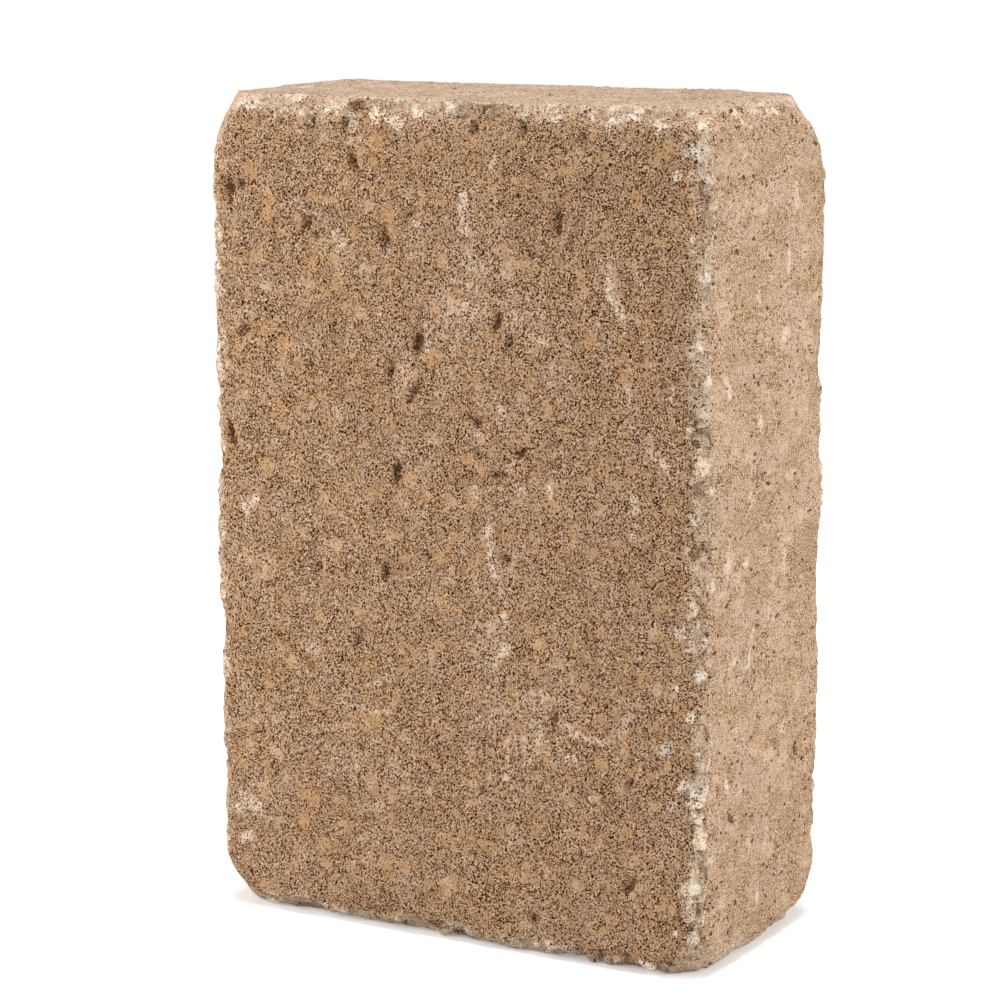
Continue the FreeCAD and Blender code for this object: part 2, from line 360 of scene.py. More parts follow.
# %% Write down the scuffs
# Across, up, half width, half length, lean to the right in degrees, strength
front_scuffs = [
    (57, 212, 2.2, 9.0, -22, 0.9),
    (68, 214, 1.1, 2.4, -30, 0.7),
    (60, 201, 1.4, 2.0, -54, 0.8),
    (51, 201, 1.0, 2.2, -66, 0.7),
    (42, 197, 1.0, 3.0, -22, 0.6),
    (6, 232, 1.6, 6.0, -2, 0.9),
    (19, 224, 1.0, 2.1, 0, 0.5),
    (17, 248, 1.1, 1.6, 12, 0.8),
    (-10, 229, 1.3, 1.7, 0, 0.6),
    (-39, 222, 2.0, 2.8, -8, 1.0),
    (-34, 256, 1.1, 3.4, 15, 0.8),
    (-7, 193, 1.6, 4.2, -6, 0.7),
    (-22, 194, 1.2, 6.0, -19, 0.6),
    (-15, 182, 2.2, 2.6, 32, 0.5),
    (18, 173, 1.7, 3.4, -20, 0.9),
    (41, 186, 1.5, 3.4, -68, 0.6),
    (62, 183, 1.0, 3.8, -31, 0.8),
    (66, 171, 1.4, 2.2, -80, 0.7),
    (69, 167, 1.7, 3.4, -44, 1.0),
    (75, 159, 1.1, 5.0, -40, 0.8),
    (77, 182, 0.9, 2.2, 4, 0.8),
    (10, 165, 1.1, 2.4, -52, 0.6),
    (22, 155, 1.3, 2.4, 20, 0.6),
    (26, 149, 1.1, 1.6, -60, 0.8),
    (36, 149, 1.1, 1.9, -3, 1.0),
    (47, 150, 1.1, 1.8, 58, 1.0),
    (65, 148, 1.1, 2.4, -10, 0.9),
    (65, 140, 1.1, 3.0, -2, 0.7),
    (10, 146, 0.9, 2.6, -10, 0.5),
    (-74, 135, 2.0, 3.6, 38, 0.9),
    (-64, 136, 1.5, 2.1, 0, 0.9),
    (15, 132, 1.3, 4.4, -3, 1.0),
    (17, 122, 1.2, 4.4, -30, 0.8),
    (19, 114, 1.3, 3.0, -10, 0.8),
    (20, 104, 1.0, 4.6, -2, 0.8),
    (20, 97, 1.6, 2.3, 40, 1.0),
    (67, 101, 1.2, 1.6, 25, 0.8),
    (-50, 90, 1.3, 2.6, -84, 0.8),
    (-60, 86, 1.1, 3.0, -86, 0.6),
    (-27, 81, 1.0, 1.8, 90, 0.6),
    (-31, 73, 0.9, 9.0, -86, 0.7),
    (-67, 65, 1.0, 6.0, 70, 0.6),
    (-41, 65, 1.4, 1.9, 18, 0.7),
    (62, 79, 1.3, 4.0, 36, 0.7),
    (74, 72, 1.0, 2.8, 26, 0.7),
    (43, 76, 1.0, 3.7, -48, 0.9),
    (51, 73, 0.9, 4.5, -75, 0.7),
    (33, 72, 1.1, 1.8, 60, 0.6),
    (41, 67, 1.1, 4.5, -74, 0.8),
    (10, 66, 1.4, 1.9, 40, 0.6),
    (29, 62, 2.2, 2.4, 0, 0.9),
    (21, 57, 1.4, 2.0, 5, 0.9),
    (-79, 35, 1.7, 3.2, 30, 1.0),
    (-74, 34, 1.8, 3.0, -50, 1.0),
    (-77, 23, 1.5, 2.6, 60, 0.8),
    (8, 208, 9.0, 13.0, 20, 0.45),
    (30, 201, 8.0, 10.0, -40, 0.40),
    (27, 75, 9.0, 14.0, 65, 0.45),
    (14, 96, 6.0, 12.0, -8, 0.40),
    (-27, 58, 7.0, 12.0, 80, 0.30),
]
right_scuffs = [
    (-11, 99, 1.4, 6.0, 16, 1.0),
    (-28, 131, 1.3, 5.2, 6, 1.0),
    (18, 236, 1.5, 3.8, -9, 0.85),
    (-7, 208, 1.6, 2.8, 0, 0.85),
    (14, 216, 0.9, 3.1, 2, 0.85),
    (11, 193, 1.3, 2.9, 21, 0.85),
    (-29, 183, 1.6, 4.2, -23, 0.85),
    (-6, 169, 1.5, 3.0, -20, 0.85),
    (-11, 146, 1.6, 2.5, -38, 0.85),
    (-14, 127, 1.3, 2.2, 45, 0.95),
    (13, 122, 0.9, 4.2, -7, 0.95),
    (3, 108, 1.4, 2.4, -18, 1.0),
    (-20, 96, 1.1, 2.6, -55, 0.95),
    (-20, 77, 0.9, 2.0, 2, 1.0),
    (12, 71, 1.2, 4.4, -13, 0.85),
    (-27, 58, 1.2, 3.0, -16, 0.95),
    (2, 36, 1.1, 2.4, 13, 0.95),
    (-4, 19, 0.9, 3.1, 5, 0.95),
]
print("scuffs by hand:", len(front_scuffs) + len(right_scuffs))

# %% [markdown]
# To draw a mark, each point of its side is asked how far it is along the mark and how far
# beside it. A gash is deepest in its middle, and its rim is bent by fine noise. The finish
# gets its narrow middle line as well, to darken it. A scuff is a stroke that wanders a little
# and has gaps, with a faint halo of dust about it. The five widest are hardly more than that.

# %% Helpers for the marks
ACROSS = {LEFT_RIGHT: (1, 2), FRONT_BACK: (0, 2), BOTTOM_TOP: (0, 1)}
SIDES = [(axis, sign) for axis in (LEFT_RIGHT, FRONT_BACK, BOTTOM_TOP) for sign in (-1, 1)]
FRONT, RIGHT = (FRONT_BACK, -1), (LEFT_RIGHT, 1)
wander = np.stack([0.8 * lumps(points, 5.5, 61 + k) for k in range(3)], axis=1)
rubbed_here = smooth_step(-0.75, 0.10, lumps(points, 3.2, 65))
scuffed = np.zeros(count)
gashed = np.zeros(count)
about_gash = np.zeros(count)


def along_and_beside(flat, across, up, lean):
    """How far each place is from a mark's middle, along the mark and beside it."""
    lean = math.radians(lean)
    offset = flat - (across, up)
    along = offset @ (math.sin(lean), math.cos(lean))
    beside = offset @ (math.cos(lean), -math.sin(lean))
    return along, beside


def points_on(side):
    """The numbers of the points on one side, and their two places across it."""
    axis, sign = side
    chosen = np.flatnonzero((side_axis == axis) & (np.sign(points[:, axis] - middle_mm[axis]) == sign))
    return chosen, points[chosen][:, ACROSS[axis]] + wander[chosen][:, ACROSS[axis]]


def cut_gashes(gashes, side):
    """Adds torn slits to the pits on one side. Their floor is as rough as rubble."""
    chosen, flat = points_on(side)
    for across, up, half_width, half_length, lean, depth in gashes:
        along, beside = along_and_beside(flat, across, up, lean)
        edge = np.hypot(along / half_length, beside / half_width) + 0.55 * ragged[chosen]
        pits[chosen] = np.maximum(pits[chosen], depth * np.sqrt(np.clip(1.25 - edge, 0, 1)))
        slit = np.hypot(along / (1.15 * half_length), beside / (0.55 * half_width)) + 0.45 * ragged[chosen]
        gashed[chosen] = np.maximum(gashed[chosen], smooth_step(1.30, 0.30, slit))
        about_gash[chosen] = np.maximum(about_gash[chosen], smooth_step(2.2, 1.4, edge))


def rub_scuffs(scuffs, side):
    """Adds whitish strokes to one side."""
    chosen, flat = points_on(side)
    for across, up, half_width, half_length, lean, strength in scuffs:
        along, beside = along_and_beside(flat, across, up, lean)
        past_end = np.clip(np.abs(along) - 1.2 * half_length + half_width, 0, None)
        away = np.hypot(past_end, beside) / (0.85 * half_width)
        core = smooth_step(1.9, 0.4, away) * rubbed_here[chosen]
        halo = smooth_step(4.5, 0.8, away)
        scuffed[chosen] = np.maximum(scuffed[chosen], strength * (0.95 * core + 0.25 * halo))


print("sides to mark:", len(SIDES))

# %% Mark every side
cut_gashes(front_gashes, FRONT)
cut_gashes(right_gashes, RIGHT)
rub_scuffs(front_scuffs, FRONT)
rub_scuffs(right_scuffs, RIGHT)

throw = np.random.default_rng(27)


def thrown(side, area_each, widest, longest, strongest):
    """Marks at random places of one side, one for each so many square millimetres."""
    spans = half_size_mm[list(ACROSS[side[0]])]
    middles = middle_mm[list(ACROSS[side[0]])]
    marks = []
    for _ in range(int(4 * spans[0] * spans[1] / area_each)):
        across, up = middles + spans * throw.uniform(-0.94, 0.94, 2)
        half_width, half_length = widest * throw.uniform(0.5, 1), longest * throw.uniform(0.35, 1) ** 1.5
        lean, strength = throw.normal(0, 35), strongest * throw.uniform(0.6, 1)
        marks.append((across, up, half_width, half_length, lean, strength))
    return marks


for side in SIDES:
    if side in (FRONT, RIGHT):
        continue
    wide = side[0] == FRONT_BACK
    cut_gashes(thrown(side, 1500 if wide else 2000, widest=1.7, longest=5.0, strongest=2.3), side)
    rub_scuffs(thrown(side, 900 if wide else 1300, widest=2.0, longest=6.5, strongest=1.0), side)
print("share of the skin scuffed:", round(float((scuffed > 0.3).mean()), 3))

# %% [markdown]
# The stones that lie bare are strung along the arrises. Those of the near upright arris
# and of the upper front arris are placed as in the photograph, and the others are some of the
# chunks from before, picked by number. Their shade goes from blue-grey through white to cream.

# %% Bare the stones along the arrises
front_flat = middle_mm[FRONT_BACK] - half_size_mm[FRONT_BACK]
right_flat = middle_mm[LEFT_RIGHT] + half_size_mm[LEFT_RIGHT]
top_flat = middle_mm[BOTTOM_TOP] + half_size_mm[BOTTOM_TOP]
stone_shows = np.zeros(count)
stone_shade = np.zeros(count)
stone_edges = lumps(points, 3.4, 66)


def bare_spot(place, radius, strength, shade):
    """Marks a stone about one place, on whatever side it is."""
    away = np.linalg.norm(points - place, axis=1) / radius + 0.50 * stone_edges + 0.50 * ragged
    mark = strength * smooth_step(1.30, 0.60, away)
    stronger = mark > stone_shows
    stone_shows[stronger] = mark[stronger]
    stone_shade[stronger] = shade


# Stones on the near upright arris: in from the right, back from the front, up, radius, shade
near_arris_stones = [
    (7, 1, 258, 2.0, 0.60),
    (5, 2, 253, 3.0, 0.35),
    (10, 1, 247, 1.7, 0.75),
    (2, 4, 246, 2.2, 0.30),
    (6, 1, 240, 1.5, 0.20),
    (1, 6, 238, 1.7, 0.80),
    (5, 1, 228, 1.4, 0.55),
    (2, 3, 216, 1.8, 0.60),
    (6, 1, 207, 1.3, 0.35),
    (3, 1, 196, 2.2, 0.30),
    (1, 4, 186, 1.3, 0.70),
    (1, 2, 176, 2.4, 0.20),
    (6, 1, 171, 1.5, 0.75),
    (2, 2, 160, 2.8, 0.95),
    (1, 5, 153, 1.9, 0.85),
    (4, 1, 145, 2.0, 0.55),
    (1, 2, 132, 2.4, 0.20),
    (6, 1, 127, 1.3, 0.45),
    (1, 5, 123, 2.1, 0.35),
    (4, 1, 117, 1.7, 0.90),
    (8, 1, 110, 2.0, 0.30),
    (1, 3, 107, 1.5, 0.60),
    (2, 2, 97, 2.5, 0.60),
    (9, 1, 92, 1.9, 0.80),
    (5, 1, 84, 1.6, 0.75),
    (13, 1, 73, 2.3, 0.20),
    (1, 4, 69, 2.6, 0.15),
    (6, 1, 62, 2.1, 0.35),
    (10, 1, 56, 2.1, 0.25),
    (2, 2, 52, 2.1, 0.50),
    (1, 6, 38, 1.9, 0.60),
    (6, 1, 30, 2.0, 0.80),
    (3, 2, 19, 2.6, 0.20),
    (9, 1, 15, 1.7, 0.70),
]
for inward, backward, up, radius, shade in near_arris_stones:
    bare_spot((right_flat - inward, front_flat + backward, up), radius, 0.95, shade)
# Stones on the upper front arris: across, back from the front, down from the top, radius, shade
upper_arris_stones = [
    (-74, 2, 3, 2.6, 0.60),
    (-69, 2, 4, 2.2, 0.40),
    (-45, 2, 4, 2.4, 0.55),
    (-40, 1, 6, 1.8, 0.70),
    (-25, 2, 5, 3.0, 0.95),
    (-19, 1, 7, 3.4, 0.90),
    (-13, 2, 4, 2.8, 0.85),
    (1, 2, 3, 2.0, 0.65),
    (38, 2, 4, 2.2, 0.35),
    (56, 1, 6, 2.6, 0.30),
    (63, 2, 3, 2.4, 0.35),
    (73, 2, 6, 2.8, 0.55),
]
for across, backward, down, radius, shade in upper_arris_stones:
    bare_spot((across, front_flat + backward, top_flat - down), radius, 0.9, shade)
# Stones on the upper right arris: back from the front, down from the top, radius, shade
upper_right_stones = [(3, 4, 2.6, 0.6), (25, 3, 2.6, 0.8), (44, 4, 2.4, 0.9), (50, 3, 1.8, 0.6)]
for backward, down, radius, shade in upper_right_stones:
    bare_spot((right_flat - 2, front_flat + backward, top_flat - down), radius, 0.9, shade)

# Two more steady numbers for each chunk, made from its own one
chunk_pick = (chunk_number * 7919) % 1
chunk_shade = (chunk_number * 104729) % 1
stony = smooth_step(0.05, 0.45, lumps(points, 19, 67))
chunk_is_stone = (chunk_pick < 0.55 * stony) & (crumbling < 1.3)
chunk_mark = 0.95 * chunk_is_stone * smooth_step(7.0, 3.5, from_arris) * smooth_step(3.3, 2.3, chunk_away)
stronger = chunk_mark > stone_shows
stone_shows[stronger] = chunk_mark[stronger]
stone_shade[stronger] = chunk_shade[stronger]
print("share of the skin that is bare stone:", round(float((stone_shows > 0.3).mean()), 3))

# %% [markdown]
# ## Push the skin in
# Now all the depths come together. Where a tear and a pit meet, the deeper one counts. A
# stone is hard, so over it both are shallow. A scuff is rubbed smooth, so its pits are too.
# Then each point writes down what the finish has to know about it, such as how hollow it is.
# The gashes that are in the CAD block count as hollow too, but its worn arrises don't.

# %% Press the relief into the skin
tears_here = crumbling * (1 - 0.55 * stone_shows)
pits_here = pits * (1 - 0.85 * stone_shows) * (1 - 0.5 * scuffed)
dents = np.maximum(tears_here, pits_here)
relief += dents
relief -= 0.30 * stone_shows + 0.12 * scuffed
least_depth, most_depth = 0.04, 4.0
relief = np.clip(relief, least_depth, most_depth)
pressed = points - outward * relief[:, None]
pressed = np.clip(pressed, middle_mm - half_size_mm, middle_mm + half_size_mm)
fine_skin.vertices.foreach_set("co", (pressed * MM).ravel())

sunk_in_cad = np.clip(depths.min(axis=1), 0, 4) * smooth_step(10, 14, from_arris)
hollowness = smooth_step(0.5, 2.0, dents + sunk_in_cad) * (1 - stone_shows) * (1 - 0.85 * near_arris)
hollowness *= 1 - 0.75 * about_gash
for name, values in (
    ("hollow", hollowness),
    ("gashed", gashed * (1 - stone_shows)),
    ("scuffed", scuffed),
    ("stone_shows", stone_shows),
    ("stone_shade", stone_shade),
    ("bare", bareness),
    ("wide_side", on_wide_side),
):
    fine_skin.attributes.new(name, "FLOAT", "POINT").data.foreach_set("value", values.astype(np.float32))
fine_skin.update()
print("deepest point below the CAD surface, mm:", round(float(relief.max()), 2))

# %% [markdown]
# ## Thin the skin out
# The collapse of the decimate modifier takes tiles away where the surface is plain and leaves
# them at rims and tears, which is just what a skin of this kind needs. It stops under 200,000
# triangles, the most that one piece may have.

# %% Thin the skin
most_triangles = 196_000
thinning = skin.modifiers.new("thinning", "DECIMATE")
thinning.ratio = most_triangles / (2 * len(fine_skin.polygons))
thinning.use_collapse_triangulate = True
thin_skin = evaluated_copy(skin, "weathered_block")
skin.modifiers.remove(thinning)
skin.data = thin_skin
thin_skin.shade_smooth()
print("triangles in the thinned skin:", len(thin_skin.polygons))
print("what each point still knows:", sorted(a.name for a in thin_skin.attributes if a.domain == "POINT"))

# %% [markdown]
# ## Unfold the skin like a carton
# The finish needs no UV map, because it is mixed in space. A game or a viewer that gets the
# block does need one. Each face is laid flat from its own side of the block, and the six
# sides are placed beside each other on one sheet, with a small gap, so that none overlaps.

# %% Unfold the six sides
gap = 3.0
width_mm, thickness_mm, length_mm = half_size_mm * 2
sheet_mm = length_mm + width_mm + 3 * gap
# For each side: the lower left corner of its place on the sheet, and which direction goes across
SHEET_PLACES = {
    (FRONT_BACK, -1): (gap, gap, 0, 2),
    (FRONT_BACK, 1): (2 * gap + width_mm, gap, 0, 2),
    (LEFT_RIGHT, -1): (gap, 2 * gap + length_mm, 2, 1),
    (LEFT_RIGHT, 1): (gap, 2 * gap + length_mm + thickness_mm, 2, 1),
    (BOTTOM_TOP, -1): (2 * gap + length_mm, 2 * gap + length_mm, 1, 0),
    (BOTTOM_TOP, 1): (2 * gap + 2 * width_mm + gap, gap, 1, 0),
}
corner_points = np.empty(len(thin_skin.loops), dtype=np.int32)
thin_skin.loops.foreach_get("vertex_index", corner_points)
thin_points = np.empty(len(thin_skin.vertices) * 3)
thin_skin.vertices.foreach_get("co", thin_points)
corners = thin_points.reshape(-1, 3)[corner_points] / MM
face_middles = corners.reshape(-1, 3, 3).mean(axis=1)
face_axis = below_flats(face_middles).argmin(axis=1)
face_sign = np.sign(np.take_along_axis(face_middles - middle_mm, face_axis[:, None], axis=1))[:, 0]
low_corner = middle_mm - half_size_mm
uv = np.zeros((len(corners), 2))
for (axis, sign), (sheet_x, sheet_y, across, up) in SHEET_PLACES.items():
    chosen = np.repeat((face_axis == axis) & (face_sign == sign), 3)
    flat = corners[chosen][:, (across, up)] - low_corner[[across, up]]
    uv[chosen] = (flat + (sheet_x, sheet_y)) / sheet_mm
print("sheet used from", np.round(uv.min(axis=0), 3), "to", np.round(uv.max(axis=0), 3))
thin_skin.uv_layers.new(name="OFBake").data.foreach_set("uv", uv.ravel().astype(np.float32))

# %% [markdown]
# ## The concrete's finish
# A wall block is coloured all through, so its colour is that of sand in a tan paste: a warm
# mid tone, clouds of it that lean to orange or to grey, and small patches where the paste shows
# smooth. Between the sand lie pores well under a millimetre wide, painted dark as their shade.
# A picture wrapped round the block would show its seams, so all of it is mixed from noise in
# object space, sized in mm. The helpers below each add a node or two.

# %% Node helpers
concrete = bpy.data.materials.new("tumbled_concrete")
concrete.use_nodes = True
nodes, links = concrete.node_tree.nodes, concrete.node_tree.links
surface = nodes["Principled BSDF"]
object_space = nodes.new("ShaderNodeTexCoord").outputs["Object"]


def feed(socket, source):
    """Sets a socket to a number or colour, or links it to another node's output."""
    if isinstance(source, bpy.types.NodeSocket):
        links.new(source, socket)
    elif hasattr(socket.default_value, "__len__") and len(socket.default_value) == 4:
        socket.default_value = (*source, 1)
    else:
        socket.default_value = source


def bent_space(operation, first, factors, third=None):
    """A Vector Math node on places in space."""
    node = nodes.new("ShaderNodeVectorMath")
    node.operation = operation
    feed(node.inputs[0], first)
    node.inputs[1].default_value = factors
    if third is not None:
        feed(node.inputs[2], third)
    return node.outputs["Vector"]


def cloud_node(size_mm, detail, roughness, place, shift):
    """Noise with features of about that size. A shift of some metres gives other noise."""
    node = nodes.new("ShaderNodeTexNoise")
    feed(node.inputs["Scale"], 1 / (size_mm * MM))
    feed(node.inputs["Detail"], detail)
    feed(node.inputs["Roughness"], roughness)
    feed(node.inputs["Vector"], bent_space("ADD", place, (shift, 2 * shift, 3 * shift)))
    return node


def clouds(size_mm, detail=2.0, roughness=0.5, place=object_space, shift=0.0):
    """One number of such noise, mostly between 0.3 and 0.7."""
    return cloud_node(size_mm, detail, roughness, place, shift).outputs["Fac"]


def from_spot(size_mm, place=object_space, randomness=1.0):
    """How far it is to the nearest of many scattered spots that lie about that far apart."""
    node = nodes.new("ShaderNodeTexVoronoi")
    feed(node.inputs["Scale"], 1 / (size_mm * MM))
    feed(node.inputs["Randomness"], randomness)
    feed(node.inputs["Vector"], place)
    return node.outputs["Distance"]


def between(value, low, high, to_low=0.0, to_high=1.0):
    """to_low below low and to_high above high, with a soft rise between. low may be above high."""
    node = nodes.new("ShaderNodeMapRange")
    node.interpolation_type = "SMOOTHSTEP"
    if low > high:
        low, high, to_low, to_high = high, low, to_high, to_low
    feed(node.inputs["Value"], value)
    feed(node.inputs["From Min"], low)
    feed(node.inputs["From Max"], high)
    feed(node.inputs["To Min"], to_low)
    feed(node.inputs["To Max"], to_high)
    return node.outputs["Result"]


def reckon(operation, first, second=0.0, third=0.0):
    """One Math node."""
    node = nodes.new("ShaderNodeMath")
    node.operation = operation
    for socket, source in zip(node.inputs, (first, second, third)):
        feed(socket, source)
    return node.outputs["Value"]


def plus(first, second):
    return reckon("ADD", first, second)


def times(first, second):
    return reckon("MULTIPLY", first, second)


def paint_over(share, below, above):
    """One colour laid over another, as thickly as share says."""
    node = nodes.new("ShaderNodeMix")
    node.data_type = "RGBA"
    feed(node.inputs[0], share)
    feed(node.inputs[6], below)
    feed(node.inputs[7], above)
    return node.outputs[2]


def known(name):
    """A number that each point of the skin carries."""
    node = nodes.new("ShaderNodeAttribute")
    node.attribute_name = name
    return node.outputs["Fac"]


wide_side = known("wide_side")


def by_side(narrow, wide):
    """One number on the narrow sides and ends, and another on the wide sides."""
    return between(wide_side, 0.0, 1.0, narrow, wide)


print("the finish starts with", len(nodes), "nodes")

# %% [markdown]
# The body colour comes first. Two sizes of cloud lean the tan towards orange, or towards a
# greyer brown. Smooth patches of paste lie flush in the sand, and look like plain ochre
# because they get few pores. Some are ragged, from a soft noise above a high threshold. The
# others are round: scattered spots whose size and edge are bent by noise. On the narrow sides
# the mould has rubbed broad paler areas. The layers of the pressed mix draw all these out to
# double length through the block's thickness, so the noise is read with that direction halved.

# %% Mix the body colour
tan, orange_tan, grey_brown = (0.408, 0.226, 0.107), (0.428, 0.223, 0.093), (0.368, 0.213, 0.113)
smooth_paste, rubbed_paste = (0.405, 0.235, 0.112), (0.650, 0.490, 0.370)
body = paint_over(between(clouds(24, 3, 0.6), 0.40, 0.60), tan, orange_tan)
body = paint_over(between(clouds(8, 3, 0.6, shift=0.3), 0.44, 0.60, 0.0, 0.7), body, grey_brown)

drawn_out = bent_space("MULTIPLY", object_space, (1, 0.5, 1))
patches = clouds(4.3, 3, 0.6, drawn_out, shift=1.1)
spot_size = times(reckon("SUBTRACT", clouds(11, 2, 0.5, shift=14.9), 0.31), 1.1)
spot_edge = reckon("MULTIPLY_ADD", clouds(2.2, 2, 0.6, shift=15.7), 0.5, -0.25)
spot_reach = plus(reckon("SUBTRACT", spot_size, from_spot(8.5, drawn_out)), spot_edge)
smooth_patch = reckon("MAXIMUM", between(patches, 0.600, 0.650), between(spot_reach, 0.0, 0.06))
smooth_patch = times(smooth_patch, by_side(0.5, 1.0))
body = paint_over(times(smooth_patch, 0.60), body, smooth_paste)

rubbed = clouds(9, 3, 0.55, drawn_out, shift=7.7)
rubbed_patch = times(between(rubbed, 0.48, 0.56), by_side(0.55, 0.05))
body = paint_over(rubbed_patch, body, rubbed_paste)
print("nodes for the body colour:", len(nodes))

# %% [markdown]
# Dust and scuffs are paler than the body. Dust lies as a thin veil, more of it on the narrow
# sides, and most on the end that is on top, where it settles. A scuff is stronger, but it only
# whitens the tops of the grains, so fine noise is added to it, which breaks it up. Where
# there is no scuff at all, noise alone must not make one, so the result is also multiplied by
# a soft test for that.

# %% Dust and scuffs
dust_colour, settled_dust, scuff_colour = (0.580, 0.422, 0.302), (0.635, 0.505, 0.415), (0.770, 0.655, 0.530)
dust_noise = clouds(6, 3, 0.6, drawn_out, shift=1.9)
dustiness = plus(between(dust_noise, 0.46, 0.66, 0.0, 0.45), by_side(0.30, 0.0))
body = paint_over(dustiness, body, dust_colour)

place_parts = nodes.new("ShaderNodeSeparateXYZ")
feed(place_parts.inputs[0], object_space)
block_top = cad_high[2]
on_top = between(place_parts.outputs["Z"], block_top - 2.5 * MM, block_top - 0.5 * MM, 0.0, 0.60)
body = paint_over(on_top, body, settled_dust)

scuffed_here = known("scuffed")
broken = clouds(1.5, 2, 0.6, shift=2.3)
scuff_line = plus(scuffed_here, reckon("MULTIPLY_ADD", broken, 2.2, -1.20))
scuff_shows = times(between(scuff_line, 0.0, 1.10), between(scuffed_here, 0.0, 0.15))
body = paint_over(times(scuff_shows, 0.80), body, scuff_colour)
print("nodes with dust and scuffs:", len(nodes))

# %% [markdown]
# Along the arrises the sandy crust is gone. First a pale paste shows in patches, then a frost of
# crushed stone, dull in some places and whitish in others, and last the stones of the
# mix, in blue-grey, white and cream. The skin knows how bare it is, where the stones are and
# in which shade. Noise of two sizes gnaws at their edges, so that no stone is a neat disc,
# and a little of the paste stays on them as a dirty film.

# %% Bare paste and stones
bare_paste = (0.620, 0.450, 0.310)
dull_frost, white_frost = (0.540, 0.455, 0.350), (0.820, 0.740, 0.630)
blue_grey_stone, white_stone = (0.600, 0.580, 0.525), (0.860, 0.800, 0.705)
cream_stone = (0.880, 0.760, 0.580)
bare_here = known("bare")
crust = clouds(2.6, 3, 0.7, shift=8.2)
paste_line = plus(bare_here, reckon("MULTIPLY_ADD", crust, 3.0, -1.7))
paste_shows = times(between(paste_line, 0.20, 0.70), between(bare_here, 0.05, 0.30))
body = paint_over(times(paste_shows, 0.55), body, bare_paste)

frost = clouds(2.0, 4, 0.75, shift=9.4)
frost_shows = times(between(frost, 0.45, 0.57), between(bare_here, 0.10, 0.50))
frost_colour = paint_over(between(crust, 0.40, 0.54), dull_frost, white_frost)
body = paint_over(times(frost_shows, 0.80), body, frost_colour)

stone_here, shade_here = known("stone_shows"), known("stone_shade")
stone_edge = reckon("MULTIPLY_ADD", crust, 3.0, reckon("MULTIPLY_ADD", broken, 2.4, -2.90))
stone_seen = times(between(plus(stone_here, stone_edge), 0.10, 0.80), between(stone_here, 0.0, 0.15))
stone_colour = paint_over(between(shade_here, 0.10, 0.40), blue_grey_stone, white_stone)
stone_colour = paint_over(between(shade_here, 0.60, 0.92), stone_colour, cream_stone)
stone_film = between(dust_noise, 0.40, 0.62, 0.90, 0.60)
body = paint_over(times(stone_seen, stone_film), body, stone_colour)
print("nodes with the stones:", len(nodes))

# %% [markdown]
# ## Sand and pores
# The grain is what makes a side look sandy. Its height is a sum of three things: a fine noise
# for the sand itself, softer clumps of it, and dots a little under a millimetre apart, which are
# the pores. Plain dots would look stamped, so their places are bent by fine noise first. Then the
# height is raised where pores are rare: on the narrow sides, on bare arrises, and on smooth
# patches, scuffs, stones and rubbed areas. Along fine cracks it is lowered, so that pores run
# together there. A crack is where a larger noise crosses its middle value, and another noise
# lets only some stretches of it through.

# %% Work out how high the sand lies
grain = clouds(0.47, 2, 0.85, shift=3.1)
clumps = clouds(1.5, 2, 0.7, shift=6.1)
fine_shake = cloud_node(0.9, 2, 0.7, object_space, 16.2).outputs["Color"]
shaken = bent_space("MULTIPLY_ADD", fine_shake, (1.1 * MM, 1.1 * MM, 1.1 * MM), object_space)
dots = from_spot(0.76, shaken, randomness=0.90)

height = reckon("MULTIPLY_ADD", reckon("SUBTRACT", clumps, 0.5), by_side(0.30, 0.12), grain)
height = reckon("MULTIPLY_ADD", reckon("SUBTRACT", dots, 0.5), by_side(0.24, 0.48), height)
height = plus(height, between(dust_noise, 0.36, 0.64, -0.004, 0.004))
height = plus(height, by_side(0.032, -0.002))
height = plus(height, between(bare_here, 0.15, 0.70, 0.0, 0.034))

covered = reckon("MAXIMUM", smooth_patch, reckon("MAXIMUM", times(scuff_shows, 0.5), times(stone_seen, 0.5)))
height = reckon("MULTIPLY_ADD", covered, 0.075, height)
height = reckon("MULTIPLY_ADD", rubbed_patch, 0.05, height)
crack_path = reckon("ABSOLUTE", reckon("SUBTRACT", clouds(5.5, 3, 0.7, shift=4.4), 0.5))
crack = times(between(crack_path, 0.035, 0.0), between(patches, 0.50, 0.42))
height = reckon("MULTIPLY_ADD", crack, -0.08, height)
print("nodes with the height of the sand:", len(nodes))

# %% [markdown]
# The tops of the grains get a pale painted highlight, and the dips between clumps a browner
# painted shade. The pores are dark with painted shade, and a pore isn't black right to its rim,
# so three darks are laid over each other, each one lower down than the last. The narrow sides
# have larger round holes as well, left by air that was trapped against the mould, and painted
# dark for the shade in them. The wide sides have fainter ones.

# %% Open the pores
dip_painted_shade, painted_grain_highlight = (0.240, 0.102, 0.030), (0.890, 0.670, 0.450)
pore_rim_shade, pore_wall_shade, pore_floor_shade = (0.290, 0.130, 0.042), (0.150, 0.038, 0.003), (0.045, 0.005, 0.000)
air_hole_shade = (0.075, 0.016, 0.002)
sandy = between(covered, 0.0, 1.0, 1.0, 0.30)
# Painted shade: the dips between clumps are darkened brown.
dips = times(between(clumps, 0.56, 0.44), 0.22)
body = paint_over(times(dips, sandy), body, dip_painted_shade)
# Painted highlight: the tops of the grains are lightened.
grain_tops = times(between(grain, 0.50, 0.60), by_side(1.0, 0.80))
body = paint_over(times(grain_tops, sandy), body, painted_grain_highlight)
# Painted shade: the pores are darkened in three steps, darkest lowest down.
body = paint_over(between(height, 0.485, 0.440), body, pore_rim_shade)
body = paint_over(between(height, 0.456, 0.425), body, pore_wall_shade)
body = paint_over(between(height, 0.438, 0.410), body, pore_floor_shade)
